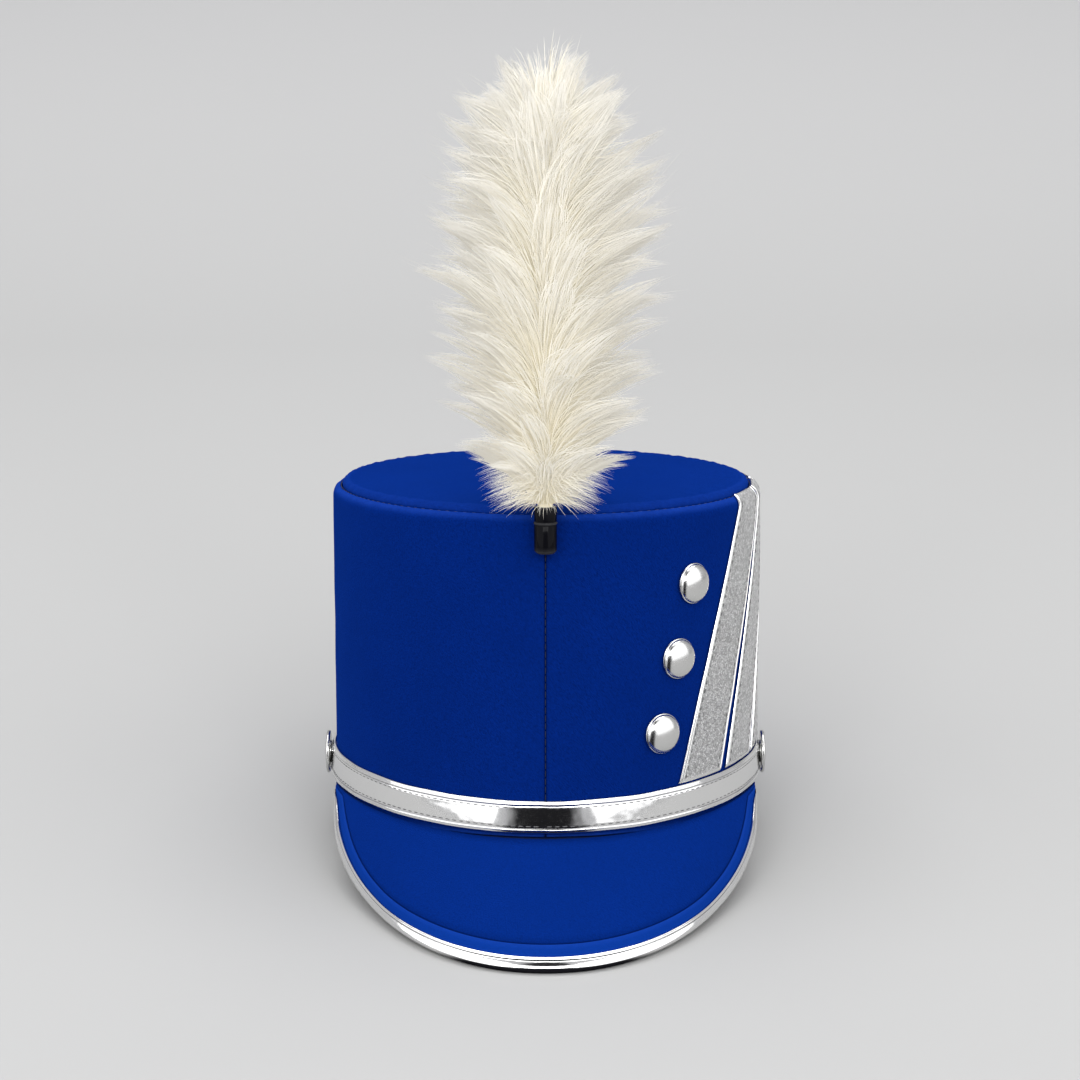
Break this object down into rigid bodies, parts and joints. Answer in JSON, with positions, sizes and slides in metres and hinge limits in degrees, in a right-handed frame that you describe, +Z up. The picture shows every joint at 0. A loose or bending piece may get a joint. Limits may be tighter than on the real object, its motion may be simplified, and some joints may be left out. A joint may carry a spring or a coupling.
{
  "type": "shako hat with its plume",
  "caption": "Tall oval marching-band hat in blue felt with a deep visor, silver chin strap, slanted silver stripes, dome buttons and a white feather plume in a socket.",
  "frame": {"origin": "middle of the floor under the resting hat's box", "axes": "+Z up from the floor; -Y to the front, where the visor and the plume are; +X to the wearer's left"},
  "size_m": [0.1982, 0.2816, 0.3666],
  "materials": {
    "blue_felt": "matte",
    "mirror_silver": "polished",
    "crackled_silver": "satin",
    "button_chrome": "polished",
    "black_lacquer": "gloss",
    "white_feather": "matte"
  },
  "bodies": {
    "hat": {"crown_wall": "blue_felt", "crown_top": "blue_felt", "visor": "blue_felt", "visor_binding": "mirror_silver", "chin_strap": "mirror_silver", "side_button_left": "button_chrome", "side_button_right": "button_chrome", "dome_button_1": "button_chrome", "dome_button_2": "button_chrome", "dome_button_3": "button_chrome", "stripe_1": "crackled_silver", "stripe_2": "crackled_silver", "stripe_3": "crackled_silver", "plume_socket": "black_lacquer"},
    "plume": {"plume": "white_feather"}
  },
  "joints": [
    {"name": "plume_lift", "type": "slide", "parent": "hat", "child": "plume", "axis": [0, 0.1893, 0.9819], "range_m": [0, 0.03]}
  ]
}
